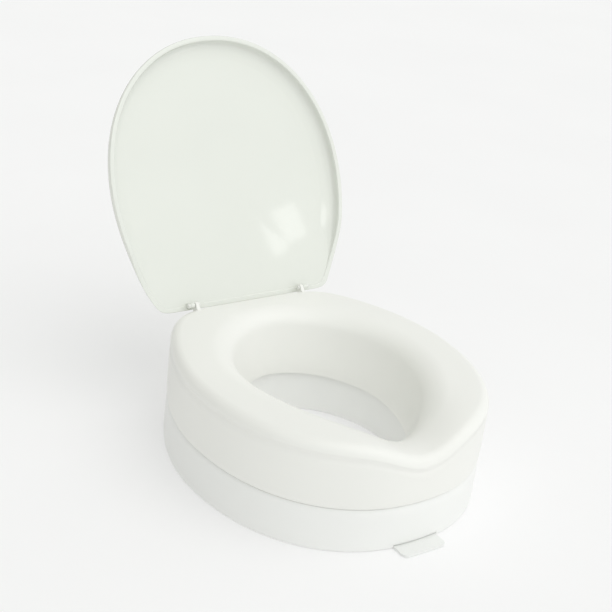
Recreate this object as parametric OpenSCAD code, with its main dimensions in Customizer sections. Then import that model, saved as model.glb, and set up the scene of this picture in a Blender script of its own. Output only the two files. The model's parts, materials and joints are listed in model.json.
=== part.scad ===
// Raised toilet seat with a hinged lid, set on the toilet rim and held by three screw clamps.
// X is across the seat, -Y is the front, +Y is the hinge side, Z is up and the skirt stands on Z = 0.
// Y = 0 is midway between the tip of the front clamp's toe and the back of the open lid.

/* [Seat] */
// overall width across the seat
seat_w = 370; // [340:1:400]
// reach of the seat in front of its widest line
seat_front = 214.5; // [200:0.5:230]
// reach of the straight back edge behind the widest line
seat_back = 185.5; // [175:0.5:195]
// height of the crown above the skirt's edge
seat_h = 141; // [125:0.5:155]
// fullness of the front outline (2 is an ellipse)
seat_power = 2.2; // [2:0.05:2.6]
// depth of the scoop at the outer edge of the crown's front
dip_depth = 24; // [0:1:28]
// half angle that the scoop covers, in degrees
dip_angle = 15; // [10:1:19]
// wall thickness of the two mouldings
wall = 3.6; // [3:0.1:5]

/* [Aperture] */
// reach of the aperture in front of its widest line
hole_front = 149; // [135:1:160]
// reach of the aperture behind its widest line
hole_back = 118.5; // [108:0.5:124]
// half width of the aperture
hole_half_w = 104; // [96:1:110]
// fullness of the aperture's outline
hole_power = 1.85; // [1.8:0.05:2.2]
// distance of the aperture's widest line behind the seat's
hole_behind = 2; // [0:1:6]

/* [Base] */
// height of the joint between the seat and the base
seam_z = 57; // [48:1:65]
// height of the deck's underside above the skirt's edge
deck_z = 24; // [18:1:30]
// thickness of the deck that bears on the toilet rim
deck_t = 4; // [3:0.5:6]

/* [Lid] */
// length of the lid from its hinge end line to its tip
lid_len = 340; // [325:1:350]
// half width of the lid
lid_half_w = 176; // [168:0.5:182]
// depth of the lid's edge lip
lid_lip = 16.5; // [12:0.5:16.5]
// panel thickness
lid_t = 3.4; // [2.5:0.1:5]
// rise of the panel's dome
lid_dome = 4; // [0:0.5:8]
// opening angle from the closed lid to the open stop
lid_open = 117.5; // [95:0.5:120]

/* [Hinge] */
// distance of each hinge from the middle of the seat
hinge_x = 82; // [75:1:88]
// radius of the hinge pin
pin_r = 1.6; // [1.4:0.1:1.8]
// radial running clearance of the pin
run_gap = 0.05; // [0.02:0.01:0.1]
// width of the seat's hinge ear
ear_w = 5; // [4:0.5:7]
// length of the lid's knuckle beside each ear
knuckle_w = 6; // [4:0.5:9]

/* [Clamps] */
// radius of the clamp screw
screw_r = 3.95; // [3:0.05:5]
// thickness of a clamp bracket
bracket_t = 3.2; // [2.5:0.1:4]
// reach of the front toe past the skirt
toe_reach = 20; // [12:1:30]
// width of the front bracket
front_bracket_w = 62; // [54:1:64]
// width of a side bracket
side_bracket_w = 50; // [40:1:56]

/* [Hidden] */
$fn = 48;
half_w = seat_w / 2;
seat_back_round = 236;         // reach of the oval that rounds the back corners
lip_in = 6.2;                  // seat's inner wall stands this far inside the base's
stations = 60;                 // sections round the seat
step_a = 360 / stations;
mould_gap = 0.4;               // gap where the two mouldings overlap
tuck = 6;                      // overlap of the base inside the seat
// closed lid: the lip stands just clear of the crown and the tail is flush with the seat's back
hinge_y = seat_back - 5.65;
hinge_z = seat_h + 2.6;
axis_depth = lid_lip - 2.1;    // hinge axis below the lid's outer face
axis_in = -8.4;                // hinge axis from the line that the lid's length is measured from
lid_tail = 14;                 // lid behind that line
lid_wide = 144;                // widest line of the lid, from the same line
lid_round = 248;               // reach of the oval that rounds the lid's hinge end
knuckle_r = 3.4;
ear_r = 3.8;
bush_r = pin_r + run_gap + 0.75;
head_r = pin_r + 1.3;           // head and cap of the hinge pin
deck_top = deck_z + deck_t;
screw_front_y = -180;          // clamp screw in the front of the deck
screw_side_x = 140;            // clamp screws at the sides of the deck
screw_side_y = 10;
jaw_front_y = 10 - seat_front;
jaw_side_x = 172;
leg_top = deck_z - 0.2;
leg_z = leg_top - bracket_t;
washer_t = 1.5;
washer_z = leg_z - 0.1 - washer_t;
knob_h = 10.5;
knob_z = washer_z - 0.1 - knob_h;
nut_h = 6.5;
toe_tip_y = -(seat_front - 1) - toe_reach;
lid_edge_round = 7;             // rounding of the lid's outer edge
lid_back_y = hinge_y + (axis_in - lid_len + lid_edge_round) * cos(lid_open)
    + (axis_depth - 0.06 * lid_lip) * sin(lid_open);
mid_y = -(toe_tip_y + lid_back_y) / 2;   // moves the middle of the whole object to Y = 0
boss_r = 6;
boss_at = [[38, 172], [-38, 172], [150, 166], [-150, 166]];   // [angle from the front, radius]

// ---------- outlines ----------

// radius of a superellipse in the direction a degrees from the front
function oval(a, w, l, p) =
    pow(pow(abs(sin(a)) / w, p) + pow(abs(cos(a)) / l, p), -1 / p);

// radius of an oval whose back is cut straight across at distance cut, with soft corners
function cut_oval(a, w, l, p, cut, tight) =
    cos(a) >= -0.05 ? oval(a, w, l, p)
    : pow(pow(oval(a, w, l, p), -tight) + pow(cut / -cos(a), -tight), -1 / tight);

function seat_r(a) = cos(a) > 0 ? oval(a, half_w, seat_front, seat_power)
    : cut_oval(a, half_w, seat_back_round, 1.8, seat_back, 16);
function hole_r(a) = cos(a) > 0 ? oval(a, hole_half_w, hole_front, hole_power)
    : oval(a, hole_half_w, hole_back, hole_power);
function lid_r(a) = cos(a) > 0 ? oval(a, lid_half_w, lid_len - lid_wide, 2.12)
    : cut_oval(a, lid_half_w, lid_round, 1.85, lid_wide + lid_tail, 30);

function outer_at(a) = seat_r(a) * [sin(a), -cos(a)];
function inner_at(a) = hole_r(a) * [sin(a), -cos(a)] + [0, hole_behind];
function band(a) = norm(outer_at(a) - inner_at(a));

// a point of a section: s is the distance out from the aperture's wall
function section_pt(a, q) =
    let (i = inner_at(a), d = (outer_at(a) - i) / band(a))
    [i[0] + d[0] * q[0], i[1] + d[1] * q[0], q[1]];

// ---------- sections ----------

function turn(a) = a > 180 ? a - 360 : a;
function scoop(a, depth, spread) = depth * exp(-pow(turn(a) / spread, 2));

// the scoop is deeper and wider at the aperture than at the outer edge
function edge_z(a) = seat_h - scoop(a, dip_depth, dip_angle);
function mouth_z(a) = seat_h - scoop(a, dip_depth + 9, 1.8 * dip_angle);

// outside of the seat moulding, from the aperture over the crown to the outer seam
function seat_skin(a) =
    let (w = band(a), z = edge_z(a), zi = mouth_z(a), ri = min(0.42 * w, 32), hi = 24, ro = 14,
        x0 = 0.233 * (zi - seam_z - 35) - 6,
        top = function(x) zi + (z - zi) * sin(90 * min(1, max(0, x / (w - ro)))))
    concat(
        [[-lip_in, seam_z], [-lip_in, seam_z + 14]],
        [for (t = [12:13:90])
            let (x = x0 + ri * (1 - cos(t))) [x, top(x) - hi * (1 - sin(t))]],
        [let (x = (x0 + ri + w - ro) / 2) [x, top(x) - 0.2]],
        [for (t = [0:22.5:90]) [w - ro + ro * sin(t), z - 0.8 - (ro - 0.8) * (1 - cos(t))]],
        [[w - 1.4, z - 17], [w - 0.3, z - 22], [w, (seam_z + z - 22) / 2],
            [w - 0.8, seam_z + 4], [w - 2.4, seam_z]]);

// unit normal of an open line of points, to its left
function normal_at(p, i) =
    let (t = p[min(i + 1, len(p) - 1)] - p[max(i - 1, 0)])
    [-t[1], t[0]] / norm(t);

// the moulding's closed section: the skin and the same skin one wall further in
function seat_section(a) =
    let (p = seat_skin(a), n = len(p))
    concat(p, [for (i = [n - 1:-1:0])
        let (q = p[i] - wall * normal_at(p, i))
        [q[0], i == 0 || i == n - 1 ? seam_z : q[1]]]);

// the base: outer skirt, deck and inner splash wall in one closed section
function base_section(a) =
    let (w = band(a), top = seam_z + tuck)
    [[w - 7, top], [w - 7, seam_z - 0.8], [w - 3.2, seam_z - 0.8], [w - 1.7, seam_z - 3],
        [w - 0.9, seam_z - 7.5], [w - 0.4, seam_z - 16], [w - 0.2, 16], [w - 0.6, 2.5],
        [w - 2.2, 0], [w - 4.6, 0],
        [w - 6, 3], [w - 6, deck_z], [wall + 0.4, deck_z], [wall + 0.2, 1.5], [2.8, 0.5],
        [1, 0.5], [0, 2], [0, top], [wall, top], [wall, deck_top], [w - 11, deck_top],
        [w - 7 - wall, top]];

// closed ring through one section per station
module ring_solid(sections) {
    n = len(sections);
    m = len(sections[0]);
    pts = [for (s = sections) each s];
    faces = [for (k = [0:n - 1]) for (j = [0:m - 1])
        let (k2 = (k + 1) % n, j2 = (j + 1) % m)
        each [[k * m + j, k2 * m + j, k2 * m + j2], [k * m + j, k2 * m + j2, k * m + j2]]];
    polyhedron(points = pts, faces = faces);
}

module place() {
    translate([0, mid_y, 0])
        children();
}

module both_sides() {
    children();
    mirror([1, 0, 0])
        children();
}

// ---------- seat ----------

// touching point of a line from p to the circle round c, on the side given by 1 or -1
function touch(p, c, r, side) =
    let (v = c - p, d = norm(v), b = atan2(v[1], v[0]) + side * asin(r / d))
    p + sqrt(d * d - r * r) * [cos(b), sin(b)];

module ear_side() {
    c = [hinge_y, hinge_z];
    foot = [hinge_y - 9.5, seat_h - 1.3];
    heel = [seat_back - 3, seat_h - 8];
    polygon([foot, touch(foot, c, ear_r, 1), c, touch(heel, c, ear_r, -1), heel,
        [seat_back - 13, seat_h - 3]]);
    translate(c)
        circle(ear_r);
}

module ear() {
    translate([hinge_x - ear_w / 2, 0, 0])
        rotate([90, 0, 90])
            linear_extrude(ear_w)
                ear_side();
}

module along_x(x0, x1) {
    translate([x0, hinge_y, hinge_z])
        rotate([0, 90, 0])
            linear_extrude(x1 - x0)
                children();
}

module at_boss(b) {
    translate([b[1] * sin(b[0]), -b[1] * cos(b[0]), 0])
        children();
}

module seat_shell() color("ivory") place() {
    difference() {
        union() {
            ring_solid([for (k = [0:stations - 1])
                [for (q = seat_section(k * step_a)) section_pt(k * step_a, q)]]);
            both_sides()
                ear();
            for (b = boss_at)
                at_boss(b)
                    translate([0, 0, seam_z + tuck + mould_gap])
                        cylinder(r = boss_r, h = seat_h - seam_z - tuck - mould_gap - 2.4);
        }
        both_sides()
            along_x(hinge_x - ear_w, hinge_x + ear_w)
                circle(bush_r + run_gap);
        for (b = boss_at)
            at_boss(b)
                translate([0, 0, seam_z])
                    cylinder(r = 1.75, h = 26);
    }
}

// ---------- base ----------

module base_shell() color("whitesmoke") place() {
    difference() {
        union() {
            ring_solid([for (k = [0:stations - 1])
                [for (q = base_section(k * step_a)) section_pt(k * step_a, q)]]);
            for (b = boss_at)
                at_boss(b)
                    translate([0, 0, deck_z + 1])
                        cylinder(r = boss_r, h = seam_z + tuck - deck_z - 1);
        }
        for (b = boss_at)
            at_boss(b)
                translate([0, 0, deck_z - 1])
                    cylinder(r = 2.2, h = seam_z);
        translate([0, screw_front_y, deck_z - 1])
            cylinder(r = screw_r + 0.4, h = deck_t + 2);
        both_sides()
            translate([screw_side_x, screw_side_y, deck_z - 1])
                cylinder(r = screw_r + 0.4, h = deck_t + 2);
        translate([-front_bracket_w / 2 - 1, -seat_front - 1, -1])
            cube([front_bracket_w + 2, 12, bracket_t + 1.3]);
    }
}

// ---------- lid ----------

// depth of the lip, shallower towards the hinge end so it passes the seat's back edge
function lip_at(v) =
    let (t = min(max((v - 8) / 75, 0), 1))
    4.4 + (lid_lip - 4.4) * t * t * (3 - 2 * t);

// directions round the lid, closer together at its two hinge end corners
lid_turns = concat([for (a = [0:6:126]) a], [for (a = [129:3:153]) a],
    [for (a = [156:6:204]) a], [for (a = [207:3:231]) a], [for (a = [234:6:354]) a]);

// the lid's rings as [share of the outline, inset from it, depth as a share of the lip];
// a fourth number marks the inner face, which is never thinner than the panel
lid_outer = [[0.35, 0, 0], [0.7, 0, 0], [1, 16, 0.02], [1, 7, 0.06], [1, 2.8, 0.24],
    [1, 0.7, 0.55], [1, 0, 0.9], [1, 0.8, 1]];
lid_inner = [[1, 6.2, 1, 1], [1, 7.1, 0.9, 1], [1, 8, 0.65, 1], [1, 10.2, 0.44, 1],
    [1, 14, 0.3, 1], [1, 20, 0, 1], [0.7, 0, 0, 1], [0.35, 0, 0, 1]];

// a point of the closed lid, measured from the hinge axis
function lid_pt(a, g) =
    let (r = g[0] * lid_r(a) - g[1], x = r * sin(a), v = lid_wide + r * cos(a),
        lip = lip_at(v),
        dome = lid_dome * pow(max(0, 1 - pow(r / lid_r(a), 2)), 1.5),
        depth = g[3] == 1 ? max(lid_t, g[2] * lip) : g[2] * lip)
    [x, axis_in - v, axis_depth - depth + dome];

module lid_dish() {
    rings = concat(lid_outer, lid_inner);
    n = len(rings);
    m = len(lid_turns);
    pts = concat(
        [[0, axis_in - lid_wide, axis_depth + lid_dome]],
        [for (g = rings) for (k = [0:m - 1]) lid_pt(lid_turns[k], g)],
        [[0, axis_in - lid_wide, axis_depth + lid_dome - lid_t]]);
    last = len(pts) - 1;
    faces = concat(
        [for (k = [0:m - 1]) [0, 1 + (k + 1) % m, 1 + k]],
        [for (g = [0:n - 2]) for (k = [0:m - 1])
            let (p = 1 + g * m, q = p + m, k2 = (k + 1) % m)
            each [[p + k, p + k2, q + k2], [p + k, q + k2, q + k]]],
        [for (k = [0:m - 1])
            let (p = 1 + (n - 1) * m)
            [p + k, p + (k + 1) % m, last]]);
    polyhedron(points = pts, faces = faces);
}

module lid() color("honeydew") place()
    translate([0, hinge_y, hinge_z])
        rotate([-lid_open, 0, 0])
            difference() {
                union() {
                    lid_dish();
                    both_sides()
                        translate([hinge_x + ear_w / 2 + 0.5, 0, 0]) {
                            rotate([0, 90, 0])
                                cylinder(r = knuckle_r, h = knuckle_w);
                            translate([0, -knuckle_r, 0])
                                cube([knuckle_w, 2 * knuckle_r, axis_depth - 1.5]);
                        }
                }
                both_sides()
                    translate([hinge_x - 20, 0, 0])
                        rotate([0, 90, 0])
                            cylinder(r = pin_r + run_gap, h = 40);
            }

// ---------- hinge hardware ----------

pin_x0 = hinge_x - ear_w / 2 - 0.2;
pin_x1 = hinge_x + ear_w / 2 + 0.5 + knuckle_w;

module hinge_pin() {
    along_x(pin_x0 - 2.4, pin_x1 + 2.4)
        circle(pin_r);
    along_x(pin_x0 - 2.6, pin_x0 - 0.1)
        circle(head_r);
}

module pin_cap() {
    difference() {
        along_x(pin_x1 + 0.1, pin_x1 + 3.6)
            circle(head_r);
        along_x(pin_x1 - 1, pin_x1 + 2.5)
            circle(pin_r + run_gap);
    }
}

module hinge_bush() {
    difference() {
        along_x(hinge_x - ear_w / 2 + 0.1, hinge_x + ear_w / 2 - 0.1)
            circle(bush_r);
        along_x(hinge_x - ear_w, hinge_x + ear_w)
            circle(pin_r + run_gap);
    }
}

module on_left() {
    mirror([1, 0, 0])
        children();
}

module hinge_pin_r() color("gainsboro") place() hinge_pin();
module hinge_pin_l() color("gainsboro") place() on_left() hinge_pin();
module pin_cap_r() color("whitesmoke") place() pin_cap();
module pin_cap_l() color("whitesmoke") place() on_left() pin_cap();
module hinge_bush_r() color("silver") place() hinge_bush();
module hinge_bush_l() color("silver") place() on_left() hinge_bush();

// ---------- clamps ----------

module round_plate(w, d, r) {
    translate([-w / 2, 0])
        square([w, d - r]);
    translate([-w / 2 + r, 0])
        square([w - 2 * r, d]);
    for (x = [-w / 2 + r, w / 2 - r])
        translate([x, d - r])
            circle(r);
}

module front_bracket() color("whitesmoke") place() {
    w = front_bracket_w;
    leg_end = screw_front_y + 12;
    travel = 10;
    difference() {
        translate([-w / 2, jaw_front_y, leg_z])
            cube([w, leg_end - jaw_front_y, bracket_t]);
        translate([0, screw_front_y - travel, leg_z - 1]) {
            cylinder(r = screw_r + 0.45, h = bracket_t + 2);
            translate([0, travel, 0])
                cylinder(r = screw_r + 0.45, h = bracket_t + 2);
            translate([-screw_r - 0.45, 0, 0])
                cube([2 * screw_r + 0.9, travel, bracket_t + 2]);
        }
    }
    translate([-w / 2, jaw_front_y, 0])
        cube([w, bracket_t, leg_z + 1]);
    translate([0, jaw_front_y + bracket_t, 0])
        mirror([0, 1, 0])
            linear_extrude(bracket_t)
                round_plate(w, jaw_front_y + bracket_t - toe_tip_y, 7);
}

module side_bracket() {
    w = side_bracket_w;
    leg_end = 128;
    toe = 14;
    difference() {
        translate([leg_end, screw_side_y - w / 2, leg_z])
            cube([jaw_side_x - leg_end, w, bracket_t]);
        translate([screw_side_x, screw_side_y, leg_z - 1]) {
            cylinder(r = screw_r + 0.45, h = bracket_t + 2);
            translate([12, 0, 0])
                cylinder(r = screw_r + 0.45, h = bracket_t + 2);
            translate([0, -screw_r - 0.45, 0])
                cube([12, 2 * screw_r + 0.9, bracket_t + 2]);
        }
    }
    translate([jaw_side_x - bracket_t, screw_side_y - w / 2, 0.6])
        cube([bracket_t, w, leg_z]);
    translate([jaw_side_x - bracket_t - toe, screw_side_y - w / 2 + 5, 0.6])
        cube([toe + 1, w - 10, bracket_t - 0.4]);
}

module side_bracket_r() color("whitesmoke") place() side_bracket();
module side_bracket_l() color("whitesmoke") place() on_left() side_bracket();

module front_jaw_pads() color("dimgray") place()
    both_sides()
        translate([13, jaw_front_y + bracket_t, 5])
            cube([12, 2.4, 13]);

module side_jaw_pad()
    translate([jaw_side_x - bracket_t - 2.4, screw_side_y - 18, 5])
        cube([2.4, 36, 13]);

module side_jaw_pad_r() color("dimgray") place() side_jaw_pad();
module side_jaw_pad_l() color("dimgray") place() on_left() side_jaw_pad();

module at_front_screw() {
    place()
        translate([0, screw_front_y, 0])
            children();
}

module at_side_screw() {
    place()
        translate([screw_side_x, screw_side_y, 0])
            children();
}

module at_left_screw() {
    place()
        translate([-screw_side_x, screw_side_y, 0])
            children();
}

module washer(r) {
    translate([0, 0, washer_z])
        difference() {
            cylinder(r = r, h = washer_t);
            translate([0, 0, -1])
                cylinder(r = screw_r + 0.1, h = washer_t + 2);
        }
}

// hand knob with its moulded-in screw
module knob(r, lobes) {
    translate([0, 0, knob_z]) {
        cylinder(r = r - 1.6, h = knob_h);
        for (k = [0:lobes - 1])
            rotate([0, 0, (k + 0.5) * 360 / lobes])
                translate([r - 3.2, 0, 1])
                    cylinder(r = 3.2, h = knob_h - 2);
    }
    translate([0, 0, knob_z + 1])
        cylinder(r = screw_r, h = deck_top + nut_h + 3 - knob_z);
}

module hex_nut() {
    translate([0, 0, deck_top + 0.05])
        difference() {
            cylinder(r = 7.5, h = nut_h, $fn = 6);
            translate([0, 0, -1])
                cylinder(r = screw_r + run_gap, h = nut_h + 2);
        }
}

module front_washer() color("silver") at_front_screw() washer(9);
module side_washer_r() color("silver") at_side_screw() washer(11);
module side_washer_l() color("silver") at_left_screw() washer(11);
module front_knob() color("gainsboro") at_front_screw() knob(10.5, 6);
module side_knob_r() color("gainsboro") at_side_screw() knob(14, 8);
module side_knob_l() color("gainsboro") at_left_screw() knob(14, 8);

module clamp_nuts() color("silver") {
    at_front_screw()
        hex_nut();
    at_side_screw()
        hex_nut();
    at_left_screw()
        hex_nut();
}

// ---------- fixed details ----------

pad_at = [[52, 154], [-52, 154], [142, 152], [-142, 152]];   // [angle from the front, radius]
pad_t = 2;

module rim_pads() color("dimgray") place()
    for (b = pad_at)
        at_boss(b)
            rotate([0, 0, b[0]])
                translate([-9, -14, deck_z - pad_t])
                    cube([18, 28, pad_t]);

module shell_screws() color("silver") place()
    for (b = boss_at)
        at_boss(b) {
            translate([0, 0, deck_z - 2])
                cylinder(r = 3.6, h = 2);
            translate([0, 0, deck_z - 1])
                cylinder(r = 1.7, h = seam_z + tuck - deck_z + 14);
        }

seat_shell();
base_shell();
lid();
hinge_bush_l();
hinge_bush_r();
hinge_pin_l();
hinge_pin_r();
pin_cap_l();
pin_cap_r();
front_bracket();
side_bracket_l();
side_bracket_r();
front_jaw_pads();
side_jaw_pad_l();
side_jaw_pad_r();
front_washer();
side_washer_l();
side_washer_r();
front_knob();
side_knob_l();
side_knob_r();
clamp_nuts();
rim_pads();
shell_screws();
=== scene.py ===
import json
from math import asin, atan2, cos, degrees, exp, hypot, pi, radians, sin, sqrt

import bmesh
import bpy
from mathutils import Matrix, Vector


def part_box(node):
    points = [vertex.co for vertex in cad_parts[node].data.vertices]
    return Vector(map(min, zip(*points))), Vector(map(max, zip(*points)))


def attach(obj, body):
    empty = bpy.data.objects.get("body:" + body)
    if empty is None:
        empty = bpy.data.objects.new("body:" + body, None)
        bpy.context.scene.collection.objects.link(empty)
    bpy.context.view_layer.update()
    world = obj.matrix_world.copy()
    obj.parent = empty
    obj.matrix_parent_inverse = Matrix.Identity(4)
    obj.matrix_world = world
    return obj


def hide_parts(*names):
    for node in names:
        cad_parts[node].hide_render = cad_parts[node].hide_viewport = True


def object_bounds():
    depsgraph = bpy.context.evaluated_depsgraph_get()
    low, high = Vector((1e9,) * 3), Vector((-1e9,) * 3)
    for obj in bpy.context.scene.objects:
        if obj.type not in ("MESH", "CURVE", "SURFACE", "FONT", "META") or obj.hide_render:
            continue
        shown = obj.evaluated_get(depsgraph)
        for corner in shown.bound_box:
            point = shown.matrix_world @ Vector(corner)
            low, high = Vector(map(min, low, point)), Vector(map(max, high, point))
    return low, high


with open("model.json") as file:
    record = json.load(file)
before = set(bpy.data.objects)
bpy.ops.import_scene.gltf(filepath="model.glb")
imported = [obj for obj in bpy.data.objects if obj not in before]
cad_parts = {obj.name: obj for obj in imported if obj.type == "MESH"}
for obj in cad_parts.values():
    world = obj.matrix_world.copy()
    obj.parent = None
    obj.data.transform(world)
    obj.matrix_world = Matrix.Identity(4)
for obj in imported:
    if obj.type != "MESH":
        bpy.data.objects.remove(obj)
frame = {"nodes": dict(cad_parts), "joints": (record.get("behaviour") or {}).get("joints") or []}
CAD_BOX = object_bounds()
JOINTS = {j["name"]: j for j in frame["joints"]}

# ---------------------------------------------------------------------------------------------
# Sizes, in millimetres, round the seat's widest line (y = 0); MID moves them to the row frame.
# ---------------------------------------------------------------------------------------------
SEAT_LO, SEAT_HI = (v * 1000 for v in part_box("seat_shell"))
HINGE = Vector(JOINTS["lid_hinge"]["pos_m"]) * 1000
LID_OPEN = JOINTS["lid_hinge"]["range_deg"][1]

# the body's outline: half width, then how far the front and the back run from the widest line
HALF_W = SEAT_HI.x
SEAT_FRONT, SEAT_BACK, BACK_ROUND = 214.5, 185.5, 236
MID = SEAT_LO.y + SEAT_FRONT
# the aperture, whose middle lies a little behind the widest line
HOLE_FRONT, HOLE_BACK, HOLE_HALF_W, HOLE_BEHIND = 149, 118.5, 104, 2
# heights: the crown, the seam between the mouldings, the base's top edge and its deck
CROWN_Z = 141.0
SEAM_Z = SEAT_LO.z
BASE_TOP_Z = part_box("base_shell")[1].z * 1000
DECK_Z, DECK_T = 24.0, 4.0
# the scoop at the front: how deep, and how wide an angle it spreads over
DIP, DIP_ANGLE = 24.0, 15.0
WALL = 3.6
# how far the seat's inner wall stands inside the base's splash wall
OVERHANG = 6.2
# the roll over the aperture's edge: its height, its greatest width and share of the ring
ROLL_H, ROLL_MOST, ROLL_SHARE = 24, 32, 0.42
# the roll's mouth dips deeper and wider at the front than the crown does
MOUTH_DIP, MOUTH_SPREAD = 9, 1.8
# the inner wall leans outwards as it rises: its slope, where it starts, and how far in
LEAN, LEAN_START, LEAN_IN = 0.233, 35, 6
# the crown falls a little to its rounded outer edge, and a crease runs below that
EDGE_R, CROWN_FALL = 14, 0.8
CREASE_DROP, CREASE_W, CREASE_DEPTH = 18, 2.8, 1.5
# how far the base's collar stands inside the seat's outline, and how thick the skirt is
COLLAR_IN, SKIRT_T = 7, 6
SECTIONS = 360

LID_LEN, LID_HALF_W, LID_LIP, LID_T, LID_DOME = 340, 176, 16.5, 3.4, 4.0
LID_WIDE, LID_ROUND, LID_TAIL = 144, 248, 14
# the hinge axis as seen from the lid's hinge end, and in the body
AXIS_IN, AXIS_DEPTH = -8.4, LID_LIP - 2.1
HINGE_Y, HINGE_Z = HINGE.y - MID, HINGE.z
HINGE_X = 82.0
EAR_W, EAR_R, PIN_R, KNUCKLE_W, KNUCKLE_R = 5.0, 3.8, 1.6, 6.0, 3.4
SIDE_GAP, RUN_GAP, BUSH_WALL, FIT = 0.5, 0.05, 0.75, 0.03
KNUCKLE_X = HINGE_X + EAR_W / 2 + SIDE_GAP
PIN_X0 = HINGE_X - EAR_W / 2 - 0.2
PIN_X1 = KNUCKLE_X + KNUCKLE_W
HEAD_R = PIN_R + 1.3
BUSH_R = PIN_R + RUN_GAP + BUSH_WALL


def row(x, y, z):
    """A point in metres in the row frame, from millimetres round the seat's widest line."""
    return Vector((x, y + MID, z)) / 1000


# ---------------------------------------------------------------------------------------------
# Outlines
# ---------------------------------------------------------------------------------------------
# Angles run from the front (0) round towards +X; an outline gives a radius for each.
def oval(a, w, l, p):
    """An oval of half width w and length l; p = 2 is an ellipse, and more is squarer."""
    return ((abs(sin(a)) / w) ** p + (abs(cos(a)) / l) ** p) ** (-1 / p)


def cut_oval(a, w, l, p, cut, tight):
    """An oval whose back is cut straight across, with soft corners."""
    if cos(a) >= -0.05:
        return oval(a, w, l, p)
    return (oval(a, w, l, p) ** -tight + (cut / -cos(a)) ** -tight) ** (-1 / tight)


def seat_r(a):
    """The body's outline."""
    if cos(a) > 0:
        return oval(a, HALF_W, SEAT_FRONT, 2.2)
    return cut_oval(a, HALF_W, BACK_ROUND, 1.8, SEAT_BACK, 16)


def hole_r(a):
    """The aperture's outline, round its own middle."""
    return oval(a, HOLE_HALF_W, HOLE_FRONT if cos(a) > 0 else HOLE_BACK, 1.85)


def lid_r(a):
    """The lid's outline round its widest line; its back is the straight hinge end."""
    if cos(a) > 0:
        return oval(a, LID_HALF_W, LID_LEN - LID_WIDE, 2.12)
    return cut_oval(a, LID_HALF_W, LID_ROUND, 1.85, LID_WIDE + LID_TAIL, 40)


def outer_at(a):
    return Vector((sin(a), -cos(a))) * seat_r(a)


def inner_at(a):
    return Vector((sin(a), -cos(a))) * hole_r(a) + Vector((0, HOLE_BEHIND))


def band(a):
    """The ring's width from the aperture's wall to the outline."""
    return (outer_at(a) - inner_at(a)).length


def turned(a):
    """The angle in degrees from -180 to 180."""
    d = degrees(a) % 360
    return d - 360 if d > 180 else d


def scoop(a, depth, spread):
    """How far the front dips at angle a."""
    return depth * exp(-((turned(a) / spread) ** 2))


def section_point(a, q):
    """The point q of a section at angle a: (distance out from the aperture's wall, height)."""
    i = inner_at(a)
    p = i + (outer_at(a) - i).normalized() * q[0]
    return row(p.x, p.y, q[1])


# ---------------------------------------------------------------------------------------------
# Mesh helpers
# ---------------------------------------------------------------------------------------------
def spline(points, n):
    """A smooth line through the points, with n steps between each two."""
    p = [2 * Vector(points[0]) - Vector(points[1])] + [Vector(q) for q in points]
    p.append(2 * p[-1] - p[-2])
    out = []
    for i in range(1, len(p) - 2):
        for k in range(n):
            t = k / n
            out.append(
                0.5 * (2 * p[i] + (p[i + 1] - p[i - 1]) * t
                       + (2 * p[i - 1] - 5 * p[i] + 4 * p[i + 1] - p[i + 2]) * t * t
                       + (3 * p[i] - p[i - 1] - 3 * p[i + 1] + p[i + 2]) * t ** 3))
    out.append(p[-2])
    return [tuple(v) for v in out]


def corners_of(points, least=22):
    """Which corners of a closed line turn by more than the least angle, in degrees."""
    found = []
    for i, p in enumerate(points):
        d0 = Vector(p) - Vector(points[i - 1])
        d1 = Vector(points[(i + 1) % len(points)]) - Vector(p)
        found.append(degrees(d0.angle(d1)) > least)
    return found


def filleted(points, corners, r, steps=3):
    """The closed line with those corners rounded by curves that start r before each corner."""
    out = []
    for i, p in enumerate(points):
        p = Vector(p)
        if not corners[i]:
            out.append(tuple(p))
            continue
        before, after = Vector(points[i - 1]), Vector(points[(i + 1) % len(points)])
        a = p + (before - p) * min(0.45, r / (before - p).length)
        b = p + (after - p) * min(0.45, r / (after - p).length)
        for k in range(steps + 1):
            t = k / steps
            out.append(tuple(a * (1 - t) ** 2 + p * 2 * t * (1 - t) + b * t * t))
    return out


def finish_mesh(name, verts, faces, body, slot, replaces, smooth=45):
    """A smooth-shaded piece that rides the body and stands in for the CAD nodes it replaces."""
    mesh = bpy.data.meshes.new(name)
    mesh.from_pydata([tuple(v) for v in verts], [], faces)
    bm = bmesh.new()
    bm.from_mesh(mesh)
    bmesh.ops.remove_doubles(bm, verts=bm.verts, dist=1e-7)
    bmesh.ops.recalc_face_normals(bm, faces=bm.faces)
    bm.to_mesh(mesh)
    bm.free()
    mesh.polygons.foreach_set("use_smooth", [True] * len(mesh.polygons))
    mesh.set_sharp_from_angle(angle=radians(smooth))
    obj = bpy.data.objects.new(name, mesh)
    bpy.context.scene.collection.objects.link(obj)
    obj.data.materials.append(MATERIALS[slot])
    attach(obj, body)
    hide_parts(*replaces)
    return obj


def even_normals(obj):
    """Flat areas keep flat shading beside their small rounded edges."""
    m = obj.modifiers.new("even_normals", "WEIGHTED_NORMAL")
    m.keep_sharp = True
    m.weight = 60


def closed_rings(rings):
    """Faces of a closed tube: every ring is closed, and the last joins the first."""
    n, m = len(rings), len(rings[0])
    verts = [v for ring in rings for v in ring]
    faces = [(k * m + j, (k + 1) % n * m + j, (k + 1) % n * m + (j + 1) % m, k * m + (j + 1) % m)
             for k in range(n) for j in range(m)]
    return verts, faces


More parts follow.
